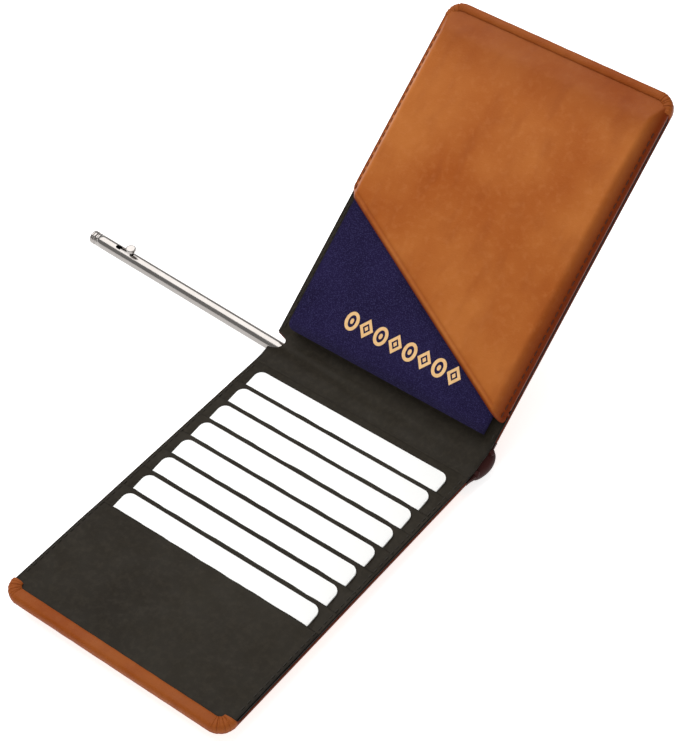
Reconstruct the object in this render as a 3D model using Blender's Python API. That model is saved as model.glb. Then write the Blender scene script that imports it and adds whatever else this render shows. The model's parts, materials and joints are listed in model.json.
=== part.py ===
"""Travel document organizer: a leather wallet with a card side, a hinged spine that stores
a bolt-action mini pen, and a passport side with a diagonal pocket.

Lengths below are in millimetres and are turned into metres when a mesh is made.
World frame: origin at the middle of the flat underside of the card side, +X along the
spine, +Y from the card side towards the passport side, +Z up.
"""

import math

import bmesh
import bpy
from mathutils import Matrix, Vector

MM = 0.001
GAP = 0.15

# Driving dimensions
WIDTH = 97.0
PANEL_LENGTH = 140.4
FOLD = math.radians(39.0)
HINGE_SPACING = 10.0
LINING_LEVEL = 8.0
LEATHER = 1.4
LINING = 0.8
CORNER_RADIUS = 6.5

# Cards and their pockets
CARD_COUNT = 8
CARD_WIDTH = 85.6
CARD_HEIGHT = 53.98
CARD_THICKNESS = 0.76
CARD_CORNER = 3.18
CARD_PITCH = 10.5
CARD_SHOWING = 8.4
CARD_LAYER = 1.26
FIRST_CARD_TOP = -11.2
CARD_FLOOR = 2.15
POCKET_SHEET = 0.3
POCKET_HALF_WIDTH = 43.9

# Hems turned over the two free ends
HEM_LIP = 4.6
HEM_WALL = 1.2
HEM_LIP_THICKNESS = 1.0
SHEET_INSET = 0.3
SEAM_INSET = 1.7
SEAM_WIDTH = 0.5

# Passport and its pocket
PASSPORT_WIDTH = 88.0
PASSPORT_HEIGHT = 125.0
PASSPORT_THICKNESS = 4.35
PASSPORT_START = 3.6
PASSPORT_BOARD = 0.45
FRONT_LEATHER = 1.2
DIAGONAL_LEFT = 59.7
DIAGONAL_RIGHT = 9.3

# Spine
SPINE_HALF_WIDTH = 6.6
SPINE_HALF_DEPTH = 4.3
SPINE_CENTRE_DEPTH = 5.33
SPINE_EAR = 2.0
NOTCH_RADIUS = 5.8
LINING_CROWN = 0.6

# Pen, drawn along its own +X with the tip forward
PEN_RADIUS = 2.65
PEN_BORE = 2.0
PEN_TAIL = -98.4
PEN_SKEW = math.radians(2.0)
PEN_MOUTH = (-43.3, 6.3, -4.7)
BOLT_AT = -78.0
BOLT_TRAVEL = 5.7
ROUND_SIDES = 32

HALF_WIDTH = WIDTH / 2
HALF_LENGTH = PANEL_LENGTH / 2
CARD_TILT = math.asin(CARD_LAYER / CARD_PITCH)
FLANGE_BOTTOM = LINING_LEVEL - LINING - GAP - LEATHER
SHEET_DEPTH = LINING + GAP + LEATHER


def clear_scene():
    for obj in list(bpy.data.objects):
        bpy.data.objects.remove(obj, do_unlink=True)


def make_material(name, colour, roughness, metallic=0.0):
    material = bpy.data.materials.new(name)
    material.use_nodes = True
    shader = material.node_tree.nodes["Principled BSDF"]
    shader.inputs["Base Color"].default_value = (*colour, 1.0)
    shader.inputs["Roughness"].default_value = roughness
    shader.inputs["Metallic"].default_value = metallic
    return material


def make_empty(name, location=(0, 0, 0), tilt=0.0, turn=0.0, parent=None):
    """A frame at a location in mm, turned about its parent's Z, then tilted about X."""
    empty = bpy.data.objects.new(name, None)
    bpy.context.collection.objects.link(empty)
    empty.location = Vector(location) * MM
    empty.rotation_euler = (tilt, 0.0, turn)
    empty.parent = parent
    return empty


def make_object(name, bm, material, parent, smooth=False):
    """Turns a bmesh drawn in mm into a named object in metres."""
    bmesh.ops.recalc_face_normals(bm, faces=bm.faces)
    bmesh.ops.scale(bm, vec=(MM, MM, MM), verts=bm.verts)
    mesh = bpy.data.meshes.new(name)
    bm.to_mesh(mesh)
    bm.free()
    if smooth:
        mesh.shade_smooth()
        mesh.set_sharp_from_angle(angle=math.radians(35))
    obj = bpy.data.objects.new(name, mesh)
    bpy.context.collection.objects.link(obj)
    obj.parent = parent
    if material:
        mesh.materials.append(material)
    return obj


def trim(obj, cutter_bm, operation, name):
    """Cuts an object with a hidden guide solid that shares its frame."""
    cutter = make_object(name, cutter_bm, None, obj.parent)
    cutter.hide_render = True
    cutter.display_type = "WIRE"
    modifier = obj.modifiers.new(name, "BOOLEAN")
    modifier.operation = operation
    modifier.object = cutter
    modifier.solver = "EXACT"


def steps(start, stop, count):
    return [start + (stop - start) * i / count for i in range(count + 1)]


def smooth_step(value):
    value = min(max(value, 0.0), 1.0)
    return 0.5 - 0.5 * math.cos(math.pi * value)


def sheet(xs, ys, low, high):
    """A closed sheet between two height functions over a grid."""
    bm = bmesh.new()
    layers = []
    for height in (low, high):
        layers.append([[bm.verts.new((x, y, height(x, y))) for y in ys] for x in xs])
    for layer in layers:
        for i in range(len(xs) - 1):
            for j in range(len(ys) - 1):
                bm.faces.new((layer[i][j], layer[i + 1][j], layer[i + 1][j + 1], layer[i][j + 1]))
    bottom, top = layers
    last_x = len(xs) - 1
    last_y = len(ys) - 1
    for i in range(last_x):
        for j in (0, last_y):
            bm.faces.new((bottom[i][j], bottom[i + 1][j], top[i + 1][j], top[i][j]))
    for j in range(last_y):
        for i in (0, last_x):
            bm.faces.new((bottom[i][j], bottom[i][j + 1], top[i][j + 1], top[i][j]))
    return bm


def prism(points, low, high):
    """An outline in X and Y extruded between two levels."""
    bm = bmesh.new()
    face = bm.faces.new([bm.verts.new((x, y, low)) for x, y in points])
    grown = bmesh.ops.extrude_face_region(bm, geom=[face])
    raised = [item for item in grown["geom"] if isinstance(item, bmesh.types.BMVert)]
    bmesh.ops.translate(bm, verts=raised, vec=(0, 0, high - low))
    return bm


def bar_along_x(points, start, stop):
    """An outline in Y and Z extruded along X."""
    bm = bmesh.new()
    face = bm.faces.new([bm.verts.new((start, y, z)) for y, z in points])
    grown = bmesh.ops.extrude_face_region(bm, geom=[face])
    moved = [item for item in grown["geom"] if isinstance(item, bmesh.types.BMVert)]
    bmesh.ops.translate(bm, verts=moved, vec=(stop - start, 0, 0))
    return bm


def arc(centre, radius, start, stop, count):
    """Points on a circle's arc, angles in degrees."""
    points = []
    for angle in steps(math.radians(start), math.radians(stop), count):
        points.append((centre[0] + radius * math.cos(angle), centre[1] + radius * math.sin(angle)))
    return points


def rectangle(x0, x1, y0, y1):
    return [(x0, y0), (x1, y0), (x1, y1), (x0, y1)]


def rounded_rectangle(x0, x1, y0, y1, radii):
    """Corner radii run anticlockwise from the corner at x0, y0."""
    corners = [(x0, y0, 1, 1, 180), (x1, y0, -1, 1, 270), (x1, y1, -1, -1, 0), (x0, y1, 1, -1, 90)]
    points = []
    for (x, y, sx, sy, start), radius in zip(corners, radii):
        if radius:
            points += arc((x + sx * radius, y + sy * radius), radius, start, start + 90, 8)
        else:
            points.append((x, y))
    return points


def turned(profile, sides=ROUND_SIDES):
    """A closed profile of (x, radius) points revolved about X; radius 0 is a pole."""
    bm = bmesh.new()
    rings = []
    for x, radius in profile:
        if radius == 0:
            rings.append([bm.verts.new((x, 0, 0))])
            continue
        ring = []
        for i in range(sides):
            angle = 2 * math.pi * i / sides
            ring.append(bm.verts.new((x, radius * math.cos(angle), radius * math.sin(angle))))
        rings.append(ring)
    hollow = profile[0][1] > 0
    pairs = list(zip(rings, rings[1:]))
    if hollow:
        pairs.append((rings[-1], rings[0]))
    for first, second in pairs:
        for i in range(sides):
            j = (i + 1) % sides
            corners = [first[i % len(first)], first[j % len(first)]]
            corners += [second[j % len(second)], second[i % len(second)]]
            bm.faces.new(list(dict.fromkeys(corners)))
    return bm


# Outlines of the two panels. The free end is at -HALF_LENGTH, the spine at +HALF_LENGTH.


def panel_outline():
    r = CORNER_RADIUS
    return rounded_rectangle(
        -HALF_WIDTH, HALF_WIDTH, -HALF_LENGTH, HALF_LENGTH - GAP, (r, r, 0, 0)
    )


def sheet_outline(near_spine):
    """A lining's outline: full width, but stepped in where the hem's wall stands."""
    side = HALF_WIDTH - SHEET_INSET
    wall = HEM_WALL + GAP
    centre_x = HALF_WIDTH - CORNER_RADIUS
    centre_y = -HALF_LENGTH + CORNER_RADIUS
    radius = CORNER_RADIUS - wall
    points = [(side, near_spine), (-side, near_spine), (-side, centre_y)]
    points += arc((-centre_x, centre_y), radius, 180, 270, 8)
    points += arc((centre_x, centre_y), radius, 270, 360, 8)
    points.append((side, centre_y))
    return points


def add_hem(name, material, parent, low, lip_bottom):
    """The cover's free end turned up round the linings and over onto them."""
    inner = -HALF_LENGTH + HEM_LIP
    hem = make_object(
        name, prism(panel_outline(), low, lip_bottom + HEM_LIP_THICKNESS), material, parent
    )
    band = rectangle(-WIDTH, WIDTH, -PANEL_LENGTH, inner)
    trim(hem, prism(band, low - 1, lip_bottom + 5), "INTERSECT", name + "_band")
    wall = HEM_WALL
    inside = rounded_rectangle(
        -HALF_WIDTH + wall, HALF_WIDTH - wall, -HALF_LENGTH + wall, 0,
        (CORNER_RADIUS - wall, CORNER_RADIUS - wall, 0, 0),
    )
    trim(hem, prism(inside, low - 2, lip_bottom), "DIFFERENCE", name + "_slot")


def add_seams(prefix, material, parent, level, near_spine, near_end):
    """The thread rows along the two long edges."""
    for side, sign in (("left", -1), ("right", 1)):
        middle = sign * (HALF_WIDTH - SEAM_INSET)
        row = rectangle(middle - SEAM_WIDTH / 2, middle + SEAM_WIDTH / 2, near_end, near_spine)
        make_object(f"{prefix}_seam_{side}", prism(row, level, level + 0.3), material, parent)


# Card side


def belly(x, y):
    """Underside of the card side's cover: a flat belly inside a raised, stitched flange."""
    from_side = HALF_WIDTH - abs(x)
    from_end = HALF_LENGTH - abs(y)
    rise = 1 - smooth_step((min(from_side, from_end) - 1.3) / 3.6)
    return FLANGE_BOTTOM * rise


def add_card_side(materials, frame):
    wall_x = [0, 0.7, 1.3, 2.0, 2.7, 3.4, 4.1, 4.9]
    inner_x = steps(-HALF_WIDTH + 9, HALF_WIDTH - 9, 6)
    xs = [-HALF_WIDTH + d for d in wall_x] + inner_x + [HALF_WIDTH - d for d in reversed(wall_x)]
    inner_y = steps(-HALF_LENGTH + 10, HALF_LENGTH - 10, 8)
    ys = [-HALF_LENGTH + d for d in wall_x] + inner_y + [HALF_LENGTH - d for d in reversed(wall_x)]
    cover = make_object(
        "card_side_cover",
        sheet(xs, ys, belly, lambda x, y: belly(x, y) + LEATHER),
        materials["leather"],
        frame,
        smooth=True,
    )
    trim(cover, prism(panel_outline(), -5, 20), "INTERSECT", "card_side_plan")

    lining_bottom = LINING_LEVEL - LINING
    pocket_top = LINING_LEVEL + GAP + 0.6
    add_hem(
        "card_side_hem", materials["leather"], frame, FLANGE_BOTTOM + LEATHER + GAP,
        pocket_top + GAP,
    )

    lining = make_object(
        "card_side_lining",
        prism(sheet_outline(HALF_LENGTH - GAP), lining_bottom, LINING_LEVEL),
        materials["lining"],
        frame,
    )
    window = rectangle(-44.2, 44.2, -65.9, 62.6)
    trim(lining, prism(window, 0, 20), "DIFFERENCE", "card_window")

    backing = rectangle(-43.0, 43.0, -64.8, 64.8)
    make_object(
        "card_side_backing", prism(backing, LEATHER + GAP, LEATHER + GAP + 0.4),
        materials["backing"], frame,
    )
    add_seams(
        "card_side", materials["thread"], frame, LINING_LEVEL + 0.03,
        HALF_LENGTH - 1.0, first_lip() + 0.4,
    )


def first_lip():
    return FIRST_CARD_TOP - CARD_SHOWING


def card_bottom(index):
    return FIRST_CARD_TOP + CARD_PITCH * index - CARD_HEIGHT * math.cos(CARD_TILT)


def front_pocket_underside(x, y):
    """Lies flat on the lining and rises over the first card at its lip."""
    along = smooth_step((y - first_lip() + 16) / 14)
    across = smooth_step((HALF_WIDTH - 0.8 - abs(x)) / 3.4)
    return LINING_LEVEL + GAP + 0.5 * along * across


def add_pockets(materials, frame):
    end = HALF_LENGTH
    xs = [-48.5, -47.7, -46.6, -45.4, -44.3] + steps(-40, 40, 4) + [44.3, 45.4, 46.6, 47.7, 48.5]
    ys = [-end, -66, -52] + steps(first_lip() - 16, first_lip(), 7)
    front = make_object(
        "front_pocket_panel",
        sheet(xs, ys, front_pocket_underside, lambda x, y: front_pocket_underside(x, y) + 0.6),
        materials["lining"],
        frame,
        smooth=True,
    )
    trim(front, prism(sheet_outline(0), -5, 20), "INTERSECT", "front_pocket_plan")

    for index in range(1, CARD_COUNT):
        pocket = make_object(
            f"pocket_panel_{index + 1}",
            prism(
                rectangle(-POCKET_HALF_WIDTH, POCKET_HALF_WIDTH, 0, CARD_HEIGHT - CARD_SHOWING),
                CARD_THICKNESS + 0.1,
                CARD_THICKNESS + 0.1 + POCKET_SHEET,
            ),
            materials["lining"],
            frame,
        )
        pocket.location = Vector((0, card_bottom(index), CARD_FLOOR)) * MM
        pocket.rotation_euler = (CARD_TILT, 0, 0)


def add_cards(materials, frame):
    half = CARD_WIDTH / 2
    outline = rounded_rectangle(-half, half, 0, CARD_HEIGHT, [CARD_CORNER] * 4)
    for index in range(CARD_COUNT):
        card = make_object(
            f"card_{index + 1}", prism(outline, 0, CARD_THICKNESS), materials["card"], frame
        )
        card.location = Vector((0, card_bottom(index), CARD_FLOOR)) * MM
        card.rotation_euler = (CARD_TILT, 0, 0)


# Spine. Its frame has the card-side hinge at the origin and the passport-side hinge
# at Y = HINGE_SPACING, both on the linings' upper faces.


def spine_curve(shrink, from_angle, to_angle, count):
    points = []
    for angle in steps(math.radians(from_angle), math.radians(to_angle), count):
        y = HINGE_SPACING / 2 + (SPINE_HALF_WIDTH - shrink) * math.cos(angle)
        z = -SPINE_CENTRE_DEPTH + (SPINE_HALF_DEPTH - shrink) * math.sin(angle)
        points.append((y, z))
    return points


def crown(x, y):
    """Upper face of the spine lining, pushed up a little by the pen below it."""
    return LINING_CROWN * math.sin(math.pi * y / HINGE_SPACING)


def add_spine(materials, frame):
    outer = spine_curve(0, 136, 404, 28)
    inner = spine_curve(LEATHER, 404, 136, 28)
    make_object(
        "spine_cover",
        bar_along_x(outer + inner, -HALF_WIDTH, HALF_WIDTH + SPINE_EAR),
        materials["leather"],
        frame,
        smooth=True,
    )
    ys = steps(GAP, HINGE_SPACING - GAP, 10)
    side = HALF_WIDTH - SHEET_INSET
    lining = make_object(
        "spine_lining",
        sheet([-side, side], ys, lambda x, y: crown(x, y) - LINING, crown),
        materials["lining"],
        frame,
        smooth=True,
    )
    notch = arc((-HALF_WIDTH, HINGE_SPACING / 2 + 0.4), NOTCH_RADIUS, 0, 360, 40)[:-1]
    trim(lining, prism(notch, -3, 3), "DIFFERENCE", "finger_notch")


# Passport side. Its frame has the hinge at the origin and the free end at +PANEL_LENGTH
# along Y, with Z = 0 on the lining's upper face.


def flip_panel(bm):
    """Turns a solid drawn with its free end at -HALF_LENGTH to run from 0 to PANEL_LENGTH."""
    turn = Matrix.Rotation(math.pi, 4, "Z")
    bmesh.ops.transform(bm, matrix=turn, verts=bm.verts)
    bmesh.ops.translate(bm, verts=bm.verts, vec=(0, HALF_LENGTH, 0))
    return bm


def passport_pocket_underside(x, y):
    """Flat flanges at the sides and the free end, raised over the passport between them."""
    from_side = HALF_WIDTH - abs(x)
    from_end = PANEL_LENGTH - y
    rise = min(smooth_step((from_side - 0.9) / 3.3), smooth_step((from_end - 4.8) / 6.0))
    return GAP + (PASSPORT_THICKNESS + GAP) * rise


def add_passport_side(materials, frame, middle):
    make_object(
        "passport_side_cover",
        flip_panel(prism(panel_outline(), -SHEET_DEPTH, -SHEET_DEPTH + LEATHER)),
        materials["leather"],
        frame,
    )
    make_object(
        "passport_side_lining",
        flip_panel(prism(sheet_outline(HALF_LENGTH - GAP), -LINING, 0)),
        materials["lining"],
        frame,
    )
    add_hem(
        "passport_side_hem", materials["leather"], middle, -LINING, GAP + FRONT_LEATHER + GAP
    )

    end = PANEL_LENGTH
    wall = [0.0, 0.9, 1.6, 2.3, 3.0, 3.6, 4.2]
    xs = [-HALF_WIDTH + d for d in wall] + steps(-36, 36, 6) + [HALF_WIDTH - d for d in reversed(wall)]
    ys = steps(5, end - 16, 10) + [end - d for d in (10.8, 9.3, 7.8, 6.3, 4.8, 2.4, 0)]
    front = make_object(
        "passport_pocket_front",
        sheet(
            xs, ys, passport_pocket_underside,
            lambda x, y: passport_pocket_underside(x, y) + FRONT_LEATHER,
        ),
        materials["leather"],
        frame,
        smooth=True,
    )
    side = HALF_WIDTH - SHEET_INSET
    wall_inset = HEM_WALL + GAP
    radius = CORNER_RADIUS - wall_inset
    centre_x = HALF_WIDTH - CORNER_RADIUS
    centre_y = end - CORNER_RADIUS
    outline = [(-side, DIAGONAL_LEFT), (side, DIAGONAL_RIGHT), (side, centre_y)]
    outline += arc((centre_x, centre_y), radius, 0, 90, 8)
    outline += arc((-centre_x, centre_y), radius, 90, 180, 8)
    outline.append((-side, centre_y))
    trim(front, prism(outline, -5, 20), "INTERSECT", "passport_pocket_plan")

    # Thread shows only on the bare lining between the spine and the pocket front.
    for side_name, sign, stop in (("left", -1, DIAGONAL_LEFT), ("right", 1, DIAGONAL_RIGHT)):
        centre = sign * (HALF_WIDTH - SEAM_INSET)
        row = rectangle(centre - SEAM_WIDTH / 2, centre + SEAM_WIDTH / 2, 1.0, stop - 1.6)
        make_object(
            f"passport_side_seam_{side_name}", prism(row, 0.03, 0.33), materials["thread"], frame
        )


def add_passport(materials, frame):
    half = PASSPORT_WIDTH / 2
    low = PASSPORT_START
    high = PASSPORT_START + PASSPORT_HEIGHT
    top = GAP + PASSPORT_THICKNESS - 0.15
    board_end = half - PASSPORT_BOARD - GAP
    board = rounded_rectangle(-half, board_end, low, high, (3.2, 0, 0, 3.2))
    for name, bottom in (("back", GAP), ("front", top - PASSPORT_BOARD)):
        make_object(
            f"passport_{name}_cover", prism(board, bottom, bottom + PASSPORT_BOARD),
            materials["booklet"], frame,
        )
    edge = rectangle(half - PASSPORT_BOARD, half, low, high)
    make_object("passport_bound_edge", prism(edge, GAP, top), materials["booklet"], frame)
    inset = 0.5
    pages = rounded_rectangle(
        -half + inset, board_end, low + inset, high - inset, (3, 0, 0, 3)
    )
    make_object(
        "passport_pages",
        prism(pages, GAP + PASSPORT_BOARD + 0.12, top - PASSPORT_BOARD - 0.12),
        materials["pages"],
        frame,
    )


# Pen


def add_pen(materials, frame, bolt_frame):
    steel = materials["steel"]
    barrel_rear = -95.4
    barrel_front = 1.5
    barrel = make_object(
        "pen_barrel",
        turned([
            (barrel_rear, PEN_BORE), (barrel_front, PEN_BORE), (barrel_front, PEN_RADIUS),
            (barrel_rear + 0.3, PEN_RADIUS), (barrel_rear, PEN_RADIUS - 0.3),
        ]),
        steel,
        frame,
        smooth=True,
    )
    slot_half = 0.95
    slot = arc((BOLT_AT, 0), slot_half, -90, 90, 8)
    slot += arc((BOLT_AT - BOLT_TRAVEL - 1.2, 0), slot_half, 90, 270, 8)
    slot_bm = prism(slot, 0.8, 5)
    upright = Matrix.Rotation(-FOLD / 2, 4, "X")
    bmesh.ops.transform(slot_bm, matrix=upright, verts=slot_bm.verts)
    trim(barrel, slot_bm, "DIFFERENCE", "bolt_slot")

    make_object(
        "pen_end_cap",
        turned([
            (-91.0, 0), (-91.0, 1.88), (barrel_rear - 0.1, 1.88), (barrel_rear - 0.1, 2.2),
            (-95.9, 2.2), (-96.2, 2.65), (-96.9, 2.65), (-97.05, 2.45), (-97.2, 2.65),
            (-98.0, 2.65), (PEN_TAIL, 2.3), (PEN_TAIL, 1.35), (-97.2, 1.35), (-97.2, 0),
        ]),
        steel,
        frame,
        smooth=True,
    )
    make_object(
        "pen_tip_cone",
        turned([
            (-3.0, 1.3), (4.5, 1.3), (5.2, 0.8), (9.5, 0.8), (9.5, 1.15), (8.6, 1.3),
            (barrel_front + 0.1, PEN_RADIUS), (barrel_front + 0.1, 1.88), (-3.0, 1.88),
        ]),
        steel,
        frame,
        smooth=True,
    )
    make_object("pen_spring", spring_mesh(-13.8, -3.5, 1.55, 0.2, 7), steel, frame, smooth=True)
    make_object(
        "pen_bolt_carrier",
        turned([(-84.0, 0), (-84.0, 1.85), (-72.0, 1.85), (-72.0, 0)], 24),
        steel,
        bolt_frame,
        smooth=True,
    )
    make_object(
        "pen_refill_tube",
        turned([
            (-71.8, 0), (-71.8, 1.15), (-15.0, 1.15), (-15.0, 1.75), (-14.1, 1.75),
            (-14.1, 1.15), (3.0, 1.15), (3.0, 0),
        ], 24),
        materials["refill"],
        bolt_frame,
        smooth=True,
    )
    make_object(
        "pen_refill_point",
        turned([(3.15, 0), (3.15, 0.6), (9.8, 0.6), (11.3, 0.3), (11.5, 0)], 16),
        materials["brass"],
        bolt_frame,
        smooth=True,
    )
    knob = turned([
        (1.98, 0), (1.98, 0.75), (4.5, 0.75), (4.5, 1.7), (4.75, 1.95), (5.8, 1.95),
        (6.05, 1.7), (6.05, 0),
    ], 24)
    stand_up = Matrix.Rotation(-math.pi / 2, 4, "Y")
    bmesh.ops.transform(knob, matrix=upright @ stand_up, verts=knob.verts)
    bmesh.ops.translate(knob, verts=knob.verts, vec=(BOLT_AT, 0, 0))
    make_object("pen_bolt_knob", knob, steel, bolt_frame, smooth=True)


def spring_mesh(start, stop, coil_radius, wire_radius, turns):
    """A round wire wound about X, closed at both ends."""
    bm = bmesh.new()
    per_turn = 14
    wire_sides = 6
    count = turns * per_turn
    rings = []
    for i in range(count + 1):
        angle = 2 * math.pi * i / per_turn
        outward = Vector((0, math.cos(angle), math.sin(angle)))
        centre = Vector((start + (stop - start) * i / count, 0, 0)) + outward * coil_radius
        ring = []
        for k in range(wire_sides):
            turn = 2 * math.pi * k / wire_sides
            offset = outward * math.cos(turn) + Vector((1, 0, 0)) * math.sin(turn)
            ring.append(bm.verts.new(centre + offset * wire_radius))
        rings.append(ring)
    for first, second in zip(rings, rings[1:]):
        for k in range(wire_sides):
            j = (k + 1) % wire_sides
            bm.faces.new((first[k], first[j], second[j], second[k]))
    bm.faces.new(rings[0])
    bm.faces.new(rings[-1])
    return bm


def main():
    clear_scene()
    materials = {
        "leather": make_material("tan_leather", (0.36, 0.11, 0.03), 0.45),
        "lining": make_material("charcoal_lining", (0.03, 0.025, 0.02), 0.7),
        "backing": make_material("backing_cloth", (0.05, 0.045, 0.04), 0.9),
        "thread": make_material("dark_thread", (0.02, 0.018, 0.015), 0.8),
        "card": make_material("blank_card", (0.93, 0.93, 0.9), 0.4),
        "booklet": make_material("navy_booklet", (0.02, 0.015, 0.07), 0.65),
        "pages": make_material("booklet_pages", (0.85, 0.83, 0.78), 0.9),
        "steel": make_material("steel", (0.7, 0.69, 0.67), 0.25, 1.0),
        "refill": make_material("refill_plastic", (0.05, 0.06, 0.2), 0.4),
        "brass": make_material("brass_point", (0.75, 0.55, 0.25), 0.3, 1.0),
    }
    card_frame = make_empty("card_side_frame")
    spine_frame = make_empty(
        "card_fold_axis", (0, HALF_LENGTH, LINING_LEVEL), tilt=FOLD / 2
    )
    passport_frame = make_empty(
        "passport_fold_axis", (0, HINGE_SPACING, 0), tilt=FOLD / 2, parent=spine_frame
    )
    passport_middle = make_empty(
        "passport_side_middle", (0, HALF_LENGTH, 0), turn=math.pi, parent=passport_frame
    )
    pen_frame = make_empty("pen_slide_axis", PEN_MOUTH, turn=-PEN_SKEW, parent=spine_frame)
    bolt_frame = make_empty("bolt_slide_axis", parent=pen_frame)

    add_card_side(materials, card_frame)
    add_pockets(materials, card_frame)
    add_cards(materials, card_frame)
    add_spine(materials, spine_frame)
    add_passport_side(materials, passport_frame, passport_middle)
    add_passport(materials, passport_frame)
    add_pen(materials, pen_frame, bolt_frame)


main()
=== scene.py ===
import json
import math

import bmesh
import bpy
from mathutils import Matrix, Vector, noise


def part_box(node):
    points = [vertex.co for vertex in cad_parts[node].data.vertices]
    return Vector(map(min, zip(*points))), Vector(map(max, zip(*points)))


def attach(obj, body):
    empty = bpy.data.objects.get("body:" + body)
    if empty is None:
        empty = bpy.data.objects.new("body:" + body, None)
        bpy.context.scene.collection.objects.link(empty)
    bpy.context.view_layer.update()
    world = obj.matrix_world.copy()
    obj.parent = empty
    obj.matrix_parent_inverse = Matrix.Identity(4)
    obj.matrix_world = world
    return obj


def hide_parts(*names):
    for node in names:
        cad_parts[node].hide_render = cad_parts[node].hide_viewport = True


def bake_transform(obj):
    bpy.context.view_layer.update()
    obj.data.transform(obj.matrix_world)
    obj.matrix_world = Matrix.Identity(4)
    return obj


# A leather travel wallet, open on its card side. Shapes are drawn in millimetres in the frame
# of the body that they belong to, and MM turns them into metres.

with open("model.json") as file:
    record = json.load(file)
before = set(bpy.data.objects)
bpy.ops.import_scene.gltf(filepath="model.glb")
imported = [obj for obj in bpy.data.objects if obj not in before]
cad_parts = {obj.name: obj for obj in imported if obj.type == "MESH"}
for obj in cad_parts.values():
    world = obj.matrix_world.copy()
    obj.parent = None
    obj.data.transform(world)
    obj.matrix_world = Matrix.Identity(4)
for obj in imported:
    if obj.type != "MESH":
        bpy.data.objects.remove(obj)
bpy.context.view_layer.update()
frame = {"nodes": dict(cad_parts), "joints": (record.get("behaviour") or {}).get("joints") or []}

MM = 0.001


def joint(name):
    return next(j for j in frame["joints"] if j["name"] == name)


def cad_size(node, axis):
    low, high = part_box(node)
    return (high[axis] - low[axis]) / MM


# Places that come from the frame
HINGE_1 = Vector(joint("card_fold")["pos_m"])
HINGE_2 = Vector(joint("passport_fold")["pos_m"])
SPAN = (HINGE_2 - HINGE_1).length / MM
HALF_FOLD = math.atan2(HINGE_2.z - HINGE_1.z, HINGE_2.y - HINGE_1.y)
CARD_TILT = math.asin(joint("card_1_slide")["axis"][2])

CARD_SIDE = Matrix.Translation(HINGE_1) @ Matrix.Rotation(math.pi, 4, "Z")
SPINE = Matrix.Translation(HINGE_1) @ Matrix.Rotation(HALF_FOLD, 4, "X")
PASSPORT_SIDE = Matrix.Translation(HINGE_2) @ Matrix.Rotation(2 * HALF_FOLD, 4, "X")
PEN_OUT = Vector(joint("pen_slide")["axis"])

# Sizes in mm. In a panel's frame X is across it, Y runs from the hinge to the free end,
# and Z = 0 is the lining's upper face.

# Panels: the cover's outline, the levels below it, the hem and the lining
HALF_WIDTH = cad_size("card_side_cover", 0) / 2
LENGTH = (HINGE_1.y / MM) * 2
CORNER = 6.5
TIGHTEST = 0.9
LINING_HALF = HALF_WIDTH - 0.3
LINING_Z = HINGE_1.z / MM
FLANGE = -2.35
BELLY = -LINING_Z
HEM_REACH = 4.65
HEM_UP_SIDES = 8.4
HEM_FADE = 1.9
PLEAT_DEPTH = 0.10

# Cards and their pockets, in world mm
CARD_PITCH = 10.5
CARD_SHOWING = 8.4
FIRST_LIP = -19.6
LIP_TOP = 8.77
SIDE_TOP = 8.42
FRONT_SIDE_TOP = 8.7
CARD_HALF = 42.8
POCKET_HALF = 47.9
POCKETS = 8

# Booklet and its pocket's diagonal edge, in the passport side's frame
BOOKLET_HALF = 44.0
BOOKLET_START = 3.6
BOOKLET_LENGTH = 125.0
BOOKLET_TOP = 4.35
BOOKLET_BOTTOM = 0.15
DIAGONAL_LEFT = 59.7
DIAGONAL_RIGHT = 9.3

# Spine: the finger notch in its lining, and how far each fold's bend reaches
NOTCH_HALF = 3.5
NOTCH_DEPTH = 5.5
NOTCH_AT = 7.2
FOLD_REACH = 2.5
PEN_RADIUS = 2.65

# A level well under everything, for turning a sheet's front upwards
FAR_BELOW = -50


def mix(a, b, share):
    return a + (b - a) * share


def smooth(value):
    value = min(max(value, 0.0), 1.0)
    return value * value * (3 - 2 * value)


def steps(start, stop, count):
    return [mix(start, stop, i / count) for i in range(count + 1)]


def wander(x, y, seed=0.0):
    """Smooth noise from -1 to 1 that repeats exactly on every run."""
    return noise.noise(Vector((x, y, seed)))


# Meshes


def new_object(name, bm, place):
    """Turns a bmesh in mm into an object in metres."""
    bmesh.ops.scale(bm, vec=(MM, MM, MM), verts=bm.verts)
    mesh = bpy.data.meshes.new(name)
    bm.to_mesh(mesh)
    bm.free()
    obj = bpy.data.objects.new(name, mesh)
    bpy.context.scene.collection.objects.link(obj)
    obj.matrix_world = place
    return obj


def apply_modifiers(obj):
    bpy.context.view_layer.update()
    graph = bpy.context.evaluated_depsgraph_get()
    finished = bpy.data.meshes.new_from_object(obj.evaluated_get(graph))
    obj.modifiers.clear()
    obj.data = finished


def add_piece(name, bm, material, place, body=None, replaces=(), thickness=0):
    """Makes a piece from a bmesh in mm. A thickness turns an open surface into a sheet."""
    obj = new_object(name, bm, place)
    if thickness:
        solid = obj.modifiers.new("thickness", "SOLIDIFY")
        solid.thickness = thickness * MM
        solid.offset = -1
        solid.use_quality_normals = True
        apply_modifiers(obj)
    obj.data.shade_smooth()
    obj.data.set_sharp_from_angle(angle=math.radians(50))
    obj.data.materials.clear()
    obj.data.materials.append(material)
    if body:
        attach(obj, body)
    if replaces:
        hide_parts(*replaces)
    return obj


def dress(material, *nodes):
    """Gives a material to CAD nodes that keep their own shape."""
    for node in nodes:
        mesh = frame["nodes"][node].data
        mesh.materials.clear()
        mesh.materials.append(material)


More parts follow.
